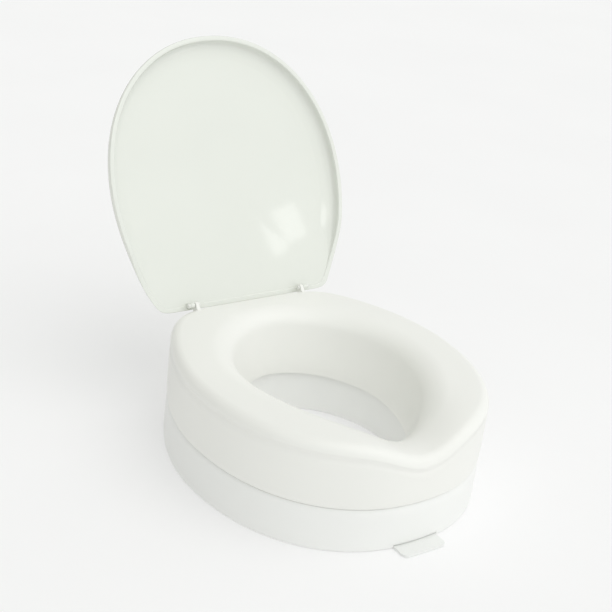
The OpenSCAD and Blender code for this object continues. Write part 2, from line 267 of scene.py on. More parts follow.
def capped_rings(rings, first, last):
    """Faces of a solid made of rings between two end points."""
    m = len(rings[0])
    verts = [first] + [v for ring in rings for v in ring] + [last]
    faces = [(0, 1 + (k + 1) % m, 1 + k) for k in range(m)]
    for g in range(len(rings) - 1):
        p, q = 1 + g * m, 1 + (g + 1) * m
        faces += [(p + k, p + (k + 1) % m, q + (k + 1) % m, q + k) for k in range(m)]
    p = 1 + (len(rings) - 1) * m
    faces += [(p + k, p + (k + 1) % m, len(verts) - 1) for k in range(m)]
    return verts, faces


def merged(*solids):
    """Several solids as one list of vertices and one of faces."""
    verts, faces = [], []
    for v, f in solids:
        faces += [tuple(i + len(verts) for i in face) for face in f]
        verts += v
    return verts, faces


# ---------------------------------------------------------------------------------------------
# Materials: moulded plastics, rubber and plated steel, all procedural
# ---------------------------------------------------------------------------------------------
PLASTIC_IOR, RUBBER_IOR = 1.49, 1.45


class Nodes:
    """Short ways to add shader nodes to a tree. Textures follow the object's own coordinates."""

    def __init__(self, tree, coord="Object"):
        self.tree = tree
        self.coord = self.add("ShaderNodeTexCoord").outputs[coord]

    def add(self, kind, **settings):
        n = self.tree.nodes.new(kind)
        for k, v in settings.items():
            setattr(n, k, v)
        return n

    def link(self, a, b):
        self.tree.links.new(a, b)

    def noise(self, scale, detail=3.0, rough=0.5, stretch=None):
        """Smooth noise from 0 to 1, which stretch can draw out along an axis."""
        n = self.add("ShaderNodeTexNoise")
        n.inputs["Scale"].default_value = scale
        n.inputs["Detail"].default_value = detail
        n.inputs["Roughness"].default_value = rough
        if stretch:
            m = self.add("ShaderNodeMapping")
            m.inputs["Scale"].default_value = stretch
            self.link(self.coord, m.inputs["Vector"])
            self.link(m.outputs["Vector"], n.inputs["Vector"])
        else:
            self.link(self.coord, n.inputs["Vector"])
        return n.outputs["Fac"]

    def between(self, fac, low, high, start=0.3, end=0.7):
        """A soft step from low to high as fac runs from start to end."""
        r = self.add("ShaderNodeMapRange", interpolation_type="SMOOTHSTEP")
        r.inputs["From Min"].default_value = start
        r.inputs["From Max"].default_value = end
        r.inputs["To Min"].default_value = low
        r.inputs["To Max"].default_value = high
        self.link(fac, r.inputs["Value"])
        return r.outputs["Result"]

    def mix(self, fac, a, b):
        """A colour between a and b. Each input is a number, a colour or another node's output."""
        m = self.add("ShaderNodeMix", data_type="RGBA")
        for socket, value in ((m.inputs[0], fac), (m.inputs[6], a), (m.inputs[7], b)):
            if isinstance(value, (int, float)):
                socket.default_value = value
            elif isinstance(value, tuple):
                socket.default_value = (*value, 1)
            else:
                self.link(value, socket)
        return m.outputs[2]

    def bump(self, height, strength, distance, under=None):
        """A bumped normal, laid over the normal under it."""
        b = self.add("ShaderNodeBump")
        b.inputs["Strength"].default_value = strength
        b.inputs["Distance"].default_value = distance
        self.link(height, b.inputs["Height"])
        if under is not None:
            self.link(under, b.inputs["Normal"])
        return b.outputs["Normal"]


class Finish(Nodes):
    """A new material's nodes, with its main shader at hand."""

    def __init__(self, name):
        self.mat = bpy.data.materials.new(name)
        self.mat.use_nodes = True
        self.shader = self.mat.node_tree.nodes["Principled BSDF"]
        super().__init__(self.mat.node_tree)


def shade(color, f):
    """The colour made lighter or darker by the factor f."""
    return tuple(min(1.0, v * f) for v in color)


def plastic(name, color, rough, grain=0.0, wave=0.25):
    """Moulded plastic: faint clouds in the colour, flow marks in the gloss, a fine skin."""
    n = Finish(name)
    cloud = n.between(n.noise(7, 1), 0, 1, 0.15, 0.85)
    fine = n.between(n.noise(55, 2, 0.4), 0, 1, 0.1, 0.9)
    tone = n.mix(cloud, shade(color, 0.985), shade(color, 1.010))
    n.link(tone, n.shader.inputs["Base Color"])
    gloss = n.add("ShaderNodeMath", operation="ADD")
    flow = n.noise(16, 2, 0.4, (1, 1, 3))
    n.link(n.between(flow, rough * -0.06, rough * 0.06, 0.1, 0.9), gloss.inputs[0])
    n.link(n.between(fine, rough * 0.96, rough * 1.06, 0, 1), gloss.inputs[1])
    n.link(gloss.outputs[0], n.shader.inputs["Roughness"])
    skin = n.bump(n.noise(9, 2), wave, 0.0006)
    skin = n.bump(n.noise(420, 2, 0.5), 0.03 + grain, 0.0002, skin)
    n.link(skin, n.shader.inputs["Normal"])
    n.shader.inputs["IOR"].default_value = PLASTIC_IOR
    return n.mat


def rubber(name, color):
    """Matt rubber with a speckled, slightly pitted skin."""
    n = Finish(name)
    n.link(n.mix(n.between(n.noise(120, 4), 0, 1), shade(color, 0.8), shade(color, 1.3)),
           n.shader.inputs["Base Color"])
    n.link(n.between(n.noise(300, 3), 0.62, 0.82), n.shader.inputs["Roughness"])
    n.link(n.bump(n.noise(1400, 4, 0.7), 0.5, 0.0003), n.shader.inputs["Normal"])
    n.shader.inputs["IOR"].default_value = RUBBER_IOR
    return n.mat


def plated(name, color):
    """Zinc-plated steel with fine brush marks along the screws."""
    n = Finish(name)
    n.link(n.mix(n.between(n.noise(90, 5), 0, 1), shade(color, 0.86), shade(color, 1.05)),
           n.shader.inputs["Base Color"])
    n.link(n.between(n.noise(240, 4, 0.6, (1, 1, 12)), 0.30, 0.44), n.shader.inputs["Roughness"])
    n.link(n.bump(n.noise(900, 4, 0.7, (1, 1, 8)), 0.25, 0.0002), n.shader.inputs["Normal"])
    n.shader.inputs["Metallic"].default_value = 1.0
    return n.mat


MATERIALS = {
    "seat_white": plastic("seat_white", (0.880, 0.882, 0.842), 0.35, wave=0.10),
    "base_white": plastic("base_white", (0.884, 0.890, 0.866), 0.35, wave=0.10),
    "lid_white": plastic("lid_white", (0.785, 0.805, 0.748), 0.075, wave=0.05),
    "pin_white": plastic("pin_white", (0.80, 0.81, 0.77), 0.34),
    "bracket_white": plastic("bracket_white", (0.835, 0.845, 0.825), 0.36, grain=0.05),
    "bearing_grey": plastic("bearing_grey", (0.42, 0.43, 0.44), 0.50, grain=0.10),
    "knob_grey": plastic("knob_grey", (0.52, 0.53, 0.54), 0.46, grain=0.22),
    "grip_rubber": rubber("grip_rubber", (0.028, 0.028, 0.030)),
    "zinc_steel": plated("zinc_steel", (0.60, 0.61, 0.62)),
}

# ---------------------------------------------------------------------------------------------
# The two mouldings of the body
# ---------------------------------------------------------------------------------------------
NOTCH_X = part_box("front_bracket")[1].x * 1000 + 1
NOTCH_H = 3.5


def angle_at_x(x):
    """The angle near the front at which the seat's outline is x from the middle."""
    a = asin(x / SEAT_FRONT)
    for _ in range(12):
        a += (x - seat_r(a) * sin(a)) / SEAT_FRONT
    return a


def stations():
    """Evenly turned sections, with extra ones where the skirt steps up over the toe."""
    found = [2 * pi * k / SECTIONS for k in range(SECTIONS)]
    for x in (NOTCH_X - 0.7, NOTCH_X - 0.2, NOTCH_X + 0.3, NOTCH_X + 0.8):
        for sign in (1, -1):
            found.append((sign * angle_at_x(x)) % (2 * pi))
    return sorted(found)


def seat_levels(a):
    """The crown's height and that of the roll's mouth; both dip at the front."""
    crown = CROWN_Z - scoop(a, DIP, DIP_ANGLE)
    return crown, CROWN_Z - scoop(a, DIP + MOUTH_DIP, MOUTH_SPREAD * DIP_ANGLE)


def seat_skin(w, crown, mouth):
    """The seat moulding's outside, up from the seam, over the crown and down to the seam."""
    edge = w - EDGE_R
    roll_w = min(ROLL_SHARE * w, ROLL_MOST)
    roll_x = LEAN * (mouth - SEAM_Z - LEAN_START) - LEAN_IN

    def top(x):
        return mouth + (crown - mouth) * sin(pi / 2 * min(1, max(0, x / edge)))

    roll = []
    for k in range(16):
        t = radians(12 + 78 * k / 15)
        x = roll_x + roll_w * (1 - cos(t))
        roll.append((x, top(x) - ROLL_H * (1 - sin(t))))

    skin = [(0.7 - OVERHANG, SEAM_Z), (0.2 - OVERHANG, SEAM_Z + 0.3), (-OVERHANG, SEAM_Z + 1.2)]
    skin += [(-OVERHANG, SEAM_Z + h) for h in (5, 10)]
    for k in range(8):
        f = (k + 0.5) / 8.5
        bend = 0.35 * (1 - f) * cos(pi * f) ** 2
        skin.append((-OVERHANG + (roll[0][0] + OVERHANG) * f + bend * (1 - f),
                     SEAM_Z + 14 + (roll[0][1] - SEAM_Z - 14) * f))
    skin += roll
    for k in range(1, 8):
        f = k / 8
        x = roll[-1][0] + (edge - roll[-1][0]) * f
        skin.append((x, top(x) - CROWN_FALL * f * f))
    for k in range(13):
        t = pi / 2 * k / 12
        skin.append((edge + EDGE_R * sin(t),
                     crown - CROWN_FALL - (EDGE_R - CROWN_FALL) * (1 - cos(t))))
    side_top = crown - EDGE_R
    middle, half = (SEAM_Z + crown - EDGE_R) / 2, (side_top - SEAM_Z) / 2
    for k in range(1, 17):
        h = side_top - (side_top - SEAM_Z - 1.8) * k / 16
        tuck = 1.1 * max(0, (middle - h) / half) ** 3
        crease = CREASE_DEPTH * exp(-(((h - (crown - CREASE_DROP)) / CREASE_W) ** 2))
        skin.append((w - crease - tuck, h))
    return skin + [(w - 1.7, SEAM_Z + 0.8), (w - 2.3, SEAM_Z + 0.2), (w - 3.0, SEAM_Z)]


def seat_section(a):
    """The seat moulding's wall at angle a: its outside, then its inside one wall deeper."""
    w = band(a)
    skin = seat_skin(w, *seat_levels(a))
    inside = [(w - 2.4 - WALL, SEAM_Z)]
    for i in range(len(skin) - 5, 3, -2):
        t = Vector(skin[i + 1]) - Vector(skin[i - 1])
        q = Vector(skin[i]) - WALL * Vector((-t.y, t.x)).normalized()
        inside.append((q.x, q.y))
    inside.append((WALL - OVERHANG, SEAM_Z))
    return skin + inside


def skirt_lift(a):
    """How far the skirt's lower edge steps up over the front clamp's toe."""
    x = abs(seat_r(a) * sin(a))
    return NOTCH_H if cos(a) > 0 and x < NOTCH_X else 0.0


def base_section(a):
    """The base moulding's wall at angle a: collar, skirt, deck, splash wall, then its inside."""
    w, lift = band(a), skirt_lift(a)
    collar, skirt = w - COLLAR_IN, w - SKIRT_T
    outer = [(collar, BASE_TOP_Z), (collar, SEAM_Z - 0.8), (w - 3.4, SEAM_Z - 0.8)]
    for k in range(1, 15):
        f = 1 - (k / 14) ** 1.6
        outer.append((w - 0.2 - 2.6 * f ** 9 - 0.5 * f, 16 + (SEAM_Z - 17.2) * f))
    outer += [(w - 0.2, 12), (w - 0.3, 8), (w - 0.6, 2.5 + lift), (w - 2.2, lift),
              (w - 4.6, lift), (skirt, 3 + lift)]
    under = [(skirt, h) for h in (10, 17, DECK_Z)]
    under += [(x, DECK_Z) for x in (w - 12, WALL + 6, WALL + 0.4)]
    splash_wall = [(WALL + 0.4, 17), (WALL + 0.3, 10), (WALL + 0.2, 1.5), (2.8, 0.5), (1, 0.5)]
    splash_wall += [(0, h) for h in (2, 12, 24, 38, 52, BASE_TOP_Z)]
    inside = [(WALL, h) for h in (BASE_TOP_Z, 45, DECK_Z + DECK_T)]
    inside += [(w - 11, DECK_Z + DECK_T), (collar - WALL, BASE_TOP_Z)]
    return outer + under + splash_wall + inside


def swept(section):
    """The section carried once round the ring."""
    return closed_rings([[section_point(a, q) for q in section(a)] for a in stations()])


BASE_CORNERS = corners_of(base_section(radians(90)))
even_normals(finish_mesh("seat_moulding", *swept(seat_section), "seat", "seat_white",
                         ["seat_shell"], smooth=70))
even_normals(finish_mesh("base_moulding",
                         *swept(lambda a: filleted(base_section(a), BASE_CORNERS, 1.1)),
                         "seat", "base_white", ["base_shell"], smooth=60))


# ---------------------------------------------------------------------------------------------
# Rings about an axis along X: ears, knuckles, bushes, caps
# ---------------------------------------------------------------------------------------------
def outline_radius(points, theta):
    """How far a ray from the origin at theta runs to the closed line of points."""
    d = Vector((cos(theta), sin(theta)))
    best = 0
    for i, p in enumerate(points):
        q = points[(i + 1) % len(points)]
        e = (q[0] - p[0], q[1] - p[1])
        det = d.x * -e[1] + d.y * e[0]
        if abs(det) < 1e-12:
            continue
        s = (p[0] * -e[1] + p[1] * e[0]) / det
        u = (d.x * p[1] - d.y * p[0]) / det
        if s > 0 and -1e-9 <= u <= 1 + 1e-9:
            best = max(best, s)
    return best


def bored(outline, bore, x0, x1, r, count=96):
    """A plate with a bore. Its outer edges are rounded by r and the bore's mouths by half of it.

    The outline is a radius or a closed line, and points are (x, u, v) round the axis."""
    rings = []
    steps = 4
    for k in range(count):
        th = 2 * pi * k / count
        out = outline_radius(outline, th) if isinstance(outline, list) else outline
        loop = []
        for cx, cr, q, quarter in ((x1 - r, out - r, r, 0), (x1 - r / 2, bore + r / 2, r / 2, 1),
                                   (x0 + r / 2, bore + r / 2, r / 2, 2), (x0 + r, out - r, r, 3)):
            for j in range(steps + 1):
                t = pi / 2 * (j / steps + quarter)
                loop.append((cx + q * sin(t), cr + q * cos(t)))
        rings.append([(x, radius * cos(th), radius * sin(th)) for x, radius in loop])
    return closed_rings(rings)


def turn_points(r, count, start, sweep):
    """Points of a round stretch about the origin."""
    return [(r * cos(start + sweep * k / count), r * sin(start + sweep * k / count))
            for k in range(count + 1)]


def at_hinge(solid):
    """A solid given round the hinge axis, put at the axis of the body."""
    verts, faces = solid
    return [row(x, HINGE_Y + u, HINGE_Z + v) for x, u, v in verts], faces


def mirrored(solid):
    """The same solid on the other side of the middle plane."""
    verts, faces = solid
    return [Vector((-v.x, v.y, v.z)) for v in verts], [tuple(reversed(f)) for f in faces]


def finish_pair(name, solid, body, slot, node, smooth=45):
    """A piece on the right as seen from the front (+X), and its mirror image on the left."""
    finish_mesh(f"{name}_right", *solid, body, slot, [f"{node}_r"], smooth)
    finish_mesh(f"{name}_left", *mirrored(solid), body, slot, [f"{node}_l"], smooth)


def touch(p, r, side):
    """Where a line from p touches the circle of radius r round the origin."""
    d = hypot(*p)
    b = atan2(-p[1], -p[0]) + side * asin(r / d)
    length = sqrt(d * d - r * r)
    return p[0] + length * cos(b), p[1] + length * sin(b)


def ear_outline():
    """The ear's side view round the hinge axis: it grows out of the crown and rounds the bush."""
    foot = (-9.8, CROWN_Z - 1.2 - HINGE_Z)
    heel = (SEAT_BACK - 3 - HINGE_Y, CROWN_Z - 8 - HINGE_Z)
    upper, lower = touch(foot, EAR_R, 1), touch(heel, EAR_R, -1)
    start = atan2(upper[1], upper[0])
    span = (atan2(lower[1], lower[0]) - start) % (2 * pi) - 2 * pi
    return (spline([foot, (foot[0] * 0.72, foot[1] * 0.62), upper], 8)[:-1]
            + turn_points(EAR_R, 40, start, span)
            + [heel, (heel[0] - 3, heel[1] + 1.5), (foot[0] + 2.5, foot[1] - 1.8)])


ear = at_hinge(bored(ear_outline(), BUSH_R + FIT, HINGE_X - EAR_W / 2, HINGE_X + EAR_W / 2, 0.9))
finish_mesh("seat_hinge_ears", *merged(ear, mirrored(ear)), "seat", "seat_white",
            ["seat_shell"], smooth=50)
bush = at_hinge(bored(BUSH_R, PIN_R + FIT, HINGE_X - EAR_W / 2 + 0.1, HINGE_X + EAR_W / 2 - 0.1,
                      0.2, 64))
finish_pair("bush", bush, "seat", "bearing_grey", "hinge_bush")


def lathe(profile, count=64):
    """A solid turned about X from (x, radius) points, whose first and last lie on the axis."""
    rings = [[(x, r * cos(2 * pi * k / count), r * sin(2 * pi * k / count)) for k in range(count)]
             for x, r in profile[1:-1]]
    return capped_rings(rings, (profile[0][0], 0, 0), (profile[-1][0], 0, 0))


def arc(cx, cr, r, t0, t1, n=6):
    """A round stretch of a turned profile, from t0 to t1 degrees."""
    return [(cx + r * cos(radians(t0 + (t1 - t0) * k / n)),
             cr + r * sin(radians(t0 + (t1 - t0) * k / n))) for k in range(n + 1)]


def pin_profile():
    """A headed pin along X, with a rounded end."""
    head, end = PIN_X0 - 2.6, PIN_X1 + 2.4
    return ([(head, 0), (head, HEAD_R * 0.35)]
            + arc(PIN_X0 - 1.5, HEAD_R - 1.1, 1.1, 180, 90)
            + arc(PIN_X0 - 0.4, HEAD_R - 0.3, 0.3, 90, 0, 3)
            + [(PIN_X0 - 0.1, PIN_R + 0.2), (PIN_X0 + 0.1, PIN_R), (PIN_X0 + 4, PIN_R),
               (HINGE_X, PIN_R), (PIN_X1 - 4, PIN_R), (PIN_X1 + 1.6, PIN_R)]
            + arc(PIN_X1 + 1.6, PIN_R - 0.8, 0.8, 90, 0, 4) + [(end, 0)])


def cap_profile():
    """A push-on cap over the pin's end, with a groove round it."""
    bore, end = PIN_R + RUN_GAP, PIN_X1 + 3.6
    return ([(PIN_X1 + 2.5, 0), (PIN_X1 + 2.5, bore), (PIN_X1 + 0.1, bore)]
            + arc(PIN_X1 + 0.5, HEAD_R - 0.4, 0.4, 180, 90, 3)
            + [(PIN_X1 + 1.1, HEAD_R), (PIN_X1 + 1.3, HEAD_R - 0.25), (PIN_X1 + 1.5, HEAD_R)]
            + arc(PIN_X1 + 2.4, HEAD_R - 1.2, 1.2, 90, 10, 6)
            + [(end, HEAD_R * 0.4), (end, 0)])


finish_pair("pin", at_hinge(lathe(pin_profile())), "lid", "pin_white", "hinge_pin", smooth=40)
finish_pair("cap", at_hinge(lathe(cap_profile())), "lid", "pin_white", "pin_cap", smooth=40)

# ---------------------------------------------------------------------------------------------
# The lid, made closed round the hinge axis and turned open
# ---------------------------------------------------------------------------------------------
OPENED = (Matrix.Translation(row(0, HINGE_Y, HINGE_Z))
          @ Matrix.Rotation(radians(-LID_OPEN), 4, "X") @ Matrix.Scale(0.001, 4))


def opened(solid):
    """A solid made on the closed lid, turned open with it."""
    verts, faces = solid
    return [OPENED @ Vector(v) for v in verts], faces


LIP_LOW, LIP_START, LIP_RUN = 4.4, 8, 75


def lip_at(v):
    """The lip's depth: it is low at the hinge end and grows to its full depth along the lid."""
    t = min(max((v - LIP_START) / LIP_RUN, 0), 1)
    return LIP_LOW + (LID_LIP - LIP_LOW) * t * t * (3 - 2 * t)


# the lip's section, from the lid's top over the edge and back in under it: (distance in from
# the outline, share of the lip's depth)
RIM = spline([(30, 0), (16, 0.015), (7, 0.06), (2.8, 0.24), (0.7, 0.55), (0, 0.86)], 4)
RIM += spline([(0.1, 0.93), (0.6, 0.985), (1.4, 1.0), (3.4, 1.0), (5.2, 1.0), (6.1, 0.985),
               (6.6, 0.93)], 2)
RIM_IN = spline([(6.9, 0.86), (7.3, 0.72), (8.1, 0.56), (10.0, 0.41), (13.5, 0.31), (18, 0.255),
                 (30, 0.20)], 4)


def lid_point(a, r, share, inner):
    """A point of the closed lid round the hinge axis, on its inner or its outer face."""
    v = LID_WIDE + r * cos(a)
    dome = LID_DOME * max(0, 1 - (r / lid_r(a)) ** 2) ** 1.5
    depth = max(LID_T, share * lip_at(v)) if inner else share * lip_at(v)
    return r * sin(a), AXIS_IN - v, AXIS_DEPTH - depth + dome


def lid_dish():
    """The whole panel: dome outside, lip round the edge, dished face inside."""
    angles = [2 * pi * k / SECTIONS for k in range(SECTIONS)]
    # rings over the middle, by their share of the way out to the outline
    flats = [k / 36 for k in range(1, 28)]
    rings = [[lid_point(a, g * lid_r(a), 0, False) for a in angles] for g in flats]
    rings += [[lid_point(a, lid_r(a) - q[0], q[1], False) for a in angles] for q in RIM]
    rings += [[lid_point(a, lid_r(a) - q[0], q[1], True) for a in angles] for q in RIM_IN]
    rings += [[lid_point(a, g * lid_r(a), 0, True) for a in angles] for g in reversed(flats)]
    middle = AXIS_IN - LID_WIDE
    top = AXIS_DEPTH + LID_DOME
    return capped_rings(rings, (0, middle, top), (0, middle, top - LID_T))


even_normals(finish_mesh("lid_panel", *opened(lid_dish()), "lid", "lid_white", ["lid"],
                         smooth=50))

# the knuckle's side view: a round nose that runs up into the panel
nose = ([(KNUCKLE_R, AXIS_DEPTH - 1.6), (-KNUCKLE_R - 0.6, AXIS_DEPTH - 1.6)]
        + turn_points(KNUCKLE_R, 32, pi, pi))
knuckle = opened(bored(nose, PIN_R + FIT, KNUCKLE_X, PIN_X1, 0.7))
finish_mesh("lid_knuckles", *merged(knuckle, mirrored(knuckle)), "lid", "lid_white", ["lid"],
            smooth=50)

# ---------------------------------------------------------------------------------------------
# Clamps: hand knobs with threaded screws, washers, nuts, brackets and ribbed pads
# ---------------------------------------------------------------------------------------------
SCREW_R, PITCH, NUT_R = 3.95, 1.25, 7.5
SCALLOP, THREAD = 2.4, 0.68
JAW_PAD_W, JAW_RIB, DECK_RIB, PAD_ROUND = 12.0, 0.9, 0.6, 0.8
# half sizes of a deck pad, and where the four lie: degrees round from the front, and radius
DECK_PAD_HALF = (14, 9)
DECK_PAD_SPOTS = ((52, 154), (-52, 154), (142, 152), (-142, 152))


def knob_solid(x, y, z0, height, radius, lobes):
    """A scalloped grip with rounded edges and a dished underside."""
    count = lobes * 16
    # (distance in from the scalloped outline, height), from the underside over to the top
    profile = [(radius * 0.82, 1.1), (radius * 0.7, 1.0), (radius * 0.52, 0.25), (radius * 0.44, 0),
               (2.6, 0.0), (1.3, 0.2), (0.45, 0.75), (0.0, 1.7), (0.0, height * 0.5),
               (0.3, height - 1.5), (1.0, height - 0.5), (2.2, height - 0.05), (4.2, height)]
    rings = []
    for inset, h in profile:
        ring = []
        for k in range(count):
            th = 2 * pi * k / count
            wave = 0.5 + 0.5 * cos(lobes * (th - pi / lobes))
            # the middle of the underside is round
            scallop = SCALLOP * (1 - wave ** 0.55) if inset <= radius * 0.4 else 0
            r = radius - scallop - inset
            ring.append(row(x + r * cos(th), y + r * sin(th), z0 + h))
        rings.append(ring)
    return capped_rings(rings, row(x, y, z0 + 1.1), row(x, y, z0 + height))


def screw_solid(x, y, z0, z1):
    """A threaded shank: the ridge winds one pitch for each turn."""
    count, per_turn = 32, 6
    steps = int((z1 - z0) / PITCH * per_turn)
    rings = []
    for j in range(steps + 1):
        z = z0 + (z1 - z0) * j / steps
        fade = min(1, (z1 - z) / 1.5)
        ring = []
        for k in range(count):
            th = 2 * pi * k / count
            t = ((z - z0) / PITCH - k / count) % 1
            r = SCREW_R - THREAD * (1 - abs(2 * t - 1)) ** 1.2 - 0.8 * (1 - fade)
            ring.append(row(x + r * cos(th), y + r * sin(th), z))
        rings.append(ring)
    return capped_rings(rings, row(x, y, z0), row(x, y, z1))


def turned_z(x, y, profile, count=72, sides=None):
    """A closed ring turned about Z from (radius, z) points; with sides, its outside is a prism."""
    rings = []
    for k in range(count):
        th = 2 * pi * k / count
        grow = 1.0
        if sides:
            step = 2 * pi / sides
            grow = cos(pi / sides) / cos((th % step) - step / 2)
        ring = []
        for r, z in profile:
            if sides and r > SCREW_R + 0.6:
                r = min(r, profile[0][0] * grow)
            ring.append(row(x + r * cos(th), y + r * sin(th), z))
        rings.append(ring)
    return closed_rings(rings)


def box_mm(node):
    """A CAD node's box in millimetres round the seat's widest line."""
    lo, hi = (v * 1000 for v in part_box(node))
    lo.y, hi.y = lo.y - MID, hi.y - MID
    return lo, hi


def washer_ring(r, z0, z1):
    """A washer's section with its rims rounded, as (radius, z) points."""
    return [(r, z0 + 0.3), (r, z1 - 0.3), (r - 0.1, z1 - 0.1), (r - 0.3, z1), (r * 0.7, z1),
            (SCREW_R + 0.3, z1), (SCREW_R + 0.1, z1 - 0.2), (SCREW_R + 0.1, z0 + 0.2),
            (SCREW_R + 0.3, z0), (r * 0.7, z0), (r - 0.3, z0), (r - 0.1, z0 + 0.1)]


def nut_ring(r, z0, z1):
    """A nut's section across its corners, with chamfers, as (radius, z) points."""
    return [(r, z0 + 0.6), (r, z1 - 0.6), (r - 0.35, z1 - 0.25), (r - 1.1, z1), (r - 2.1, z1),
            (SCREW_R + 0.5, z1), (SCREW_R + 0.05, z1 - 0.5), (SCREW_R + 0.05, z0 + 0.5),
            (SCREW_R + 0.5, z0), (r - 2.1, z0), (r - 1.1, z0), (r - 0.35, z0 + 0.25)]


# one clamp at the front and one at each side; all three nuts are one piece
nut_lo, nut_hi = box_mm("clamp_nuts")
nuts = []
for tag, node_end, lobes in (("front", "", 6), ("side_r", "_r", 8), ("side_l", "_l", 8)):
    kind = tag.split("_")[0]
    knob_node, washer_node = f"{kind}_knob{node_end}", f"{kind}_washer{node_end}"
    lo, hi = box_mm(knob_node)
    washer_lo, washer_hi = box_mm(washer_node)
    x, y = (washer_lo.x + washer_hi.x) / 2, (washer_lo.y + washer_hi.y) / 2
    height, radius = washer_lo.z - 0.1 - lo.z, (hi.y - lo.y) / 2
    finish_mesh(f"knob_grip_{tag}", *knob_solid(x, y, lo.z, height, radius, lobes),
                f"{tag}_knob", "knob_grey", [knob_node], smooth=60)
    finish_mesh(f"knob_screw_{tag}", *screw_solid(x, y, lo.z + 2, hi.z), f"{tag}_knob",
                "zinc_steel", [knob_node], smooth=60)
    ring = washer_ring((washer_hi.x - washer_lo.x) / 2, washer_lo.z, washer_hi.z)
    finish_mesh(f"washer_{tag}", *turned_z(x, y, ring), f"{tag}_washer", "bearing_grey",
                [washer_node])
    nuts.append(turned_z(x, y, nut_ring(NUT_R, nut_lo.z, nut_hi.z), 96, sides=6))
finish_mesh("nuts", *merged(*nuts), "seat", "zinc_steel", ["clamp_nuts"], smooth=25)


def ribbed_pad(mid, half, up, along, ribs, depth):
    """A rubber pad with rounded ribs across its gripping face. half is (along, across, thick)."""
    mid, up, along = Vector(mid), Vector(up), Vector(along)
    across = up.cross(along)
    nu, nv = ribs * 8, 14

    def face_point(i, j):
        u, v = -1 + 2 * i / nu, -1 + 2 * j / nv
        edge = min(1, (1 - abs(u)) * half[0] / 1.1, (1 - abs(v)) * half[1] / 1.1)
        rise = sqrt(max(0, 1 - (1 - edge) ** 2))
        rib = depth * (0.5 + 0.5 * cos(pi * ribs * (u + 1))) * min(1, edge * 1.5)
        h = half[2] - PAD_ROUND + PAD_ROUND * rise - rib
        return mid + along * (u * half[0]) + across * (v * half[1]) + up * h

    m = nv + 1
    points = [face_point(i, j) for i in range(nu + 1) for j in range(m)]
    faces = [(i * m + j, (i + 1) * m + j, (i + 1) * m + j + 1, i * m + j + 1)
             for i in range(nu) for j in range(nv)]
    # the sides run from the face's rim straight down to a flat back
    rim = ([i * m for i in range(nu + 1)] + [nu * m + j for j in range(1, m)]
           + [i * m + nv for i in range(nu - 1, -1, -1)] + list(range(nv - 1, 0, -1)))
    below, n = len(points), len(rim)
    points += [points[k] - up * ((points[k] - mid).dot(up) + half[2]) for k in rim]
    faces += [(rim[k], rim[(k + 1) % n], below + (k + 1) % n, below + k) for k in range(n)]
    faces.append(tuple(below + k for k in range(n)))
    return [row(*p) for p in points], faces


def front_jaw_pads():
    """Two pads on the front jaw, one at each end of the box they share."""
    lo, hi = box_mm("front_jaw_pads")
    half = ((hi.z - lo.z) / 2, JAW_PAD_W / 2, (hi.y - lo.y) / 2)
    spots = [(sign * (hi.x - JAW_PAD_W / 2), (lo.y + hi.y) / 2, (lo.z + hi.z) / 2)
             for sign in (1, -1)]
    return merged(*[ribbed_pad(mid, half, (0, 1, 0), (0, 0, 1), 5, JAW_RIB) for mid in spots])


def side_jaw_pad(node, sign):
    """The pad on a side jaw, which faces the middle of the bowl."""
    lo, hi = box_mm(node)
    half = ((hi.z - lo.z) / 2, (hi.y - lo.y) / 2, (hi.x - lo.x) / 2)
    return ribbed_pad((lo + hi) / 2, half, (sign, 0, 0), (0, 0, 1), 5, JAW_RIB)


def deck_pads():
    """Four pads under the deck, which rest on the bowl's rim."""
    lo, hi = box_mm("rim_pads")
    pads = []
    for turn_by, r in DECK_PAD_SPOTS:
        t = radians(turn_by)
        mid = (r * sin(t), -r * cos(t), (lo.z + hi.z) / 2)
        pads.append(ribbed_pad(mid, (*DECK_PAD_HALF, (hi.z - lo.z) / 2), (0, 0, -1),
                               (-sin(t), cos(t), 0), 8, DECK_RIB))
    return merged(*pads)


finish_mesh("jaw_pads_front", *front_jaw_pads(), "front_bracket", "grip_rubber",
            ["front_jaw_pads"])
for side, sign in (("l", 1), ("r", -1)):
    finish_mesh(f"jaw_pad_side_{side}", *side_jaw_pad(f"side_jaw_pad_{side}", sign),
                f"side_{side}_bracket", "grip_rubber", [f"side_jaw_pad_{side}"])
finish_mesh("deck_pads", *deck_pads(), "seat", "grip_rubber", ["rim_pads"])


def carry_over(node, slot, bevel):
    """A CAD node that stays: its edges are rounded by modifiers and it gets a finish."""
    obj = frame["nodes"][node]
    obj.data.materials.clear()
    obj.data.materials.append(MATERIALS[slot])
    obj.data.polygons.foreach_set("material_index", [0] * len(obj.data.polygons))
    weld = obj.modifiers.new("join_corners", "WELD")
    weld.merge_threshold = 1e-5
    m = obj.modifiers.new("round_edges", "BEVEL")
    m.width, m.segments, m.limit_method = bevel / 1000, 3, "ANGLE"
    m.angle_limit, m.harden_normals = radians(30), False
    n = obj.modifiers.new("even_normals", "WEIGHTED_NORMAL")
    n.keep_sharp = False


for node in ("front_bracket", "side_bracket_l", "side_bracket_r"):
    carry_over(node, "bracket_white", 0.8)
carry_over("shell_screws", "zinc_steel", 0.5)

# ---------------------------------------------------------------------------------------------
# Stage, lights and camera
# ---------------------------------------------------------------------------------------------
AZ, EL, DIST, ROLL = radians(-37.06), radians(24.69), 1.6474, radians(7.25)
FOCAL, SENSOR = 77.61, 36
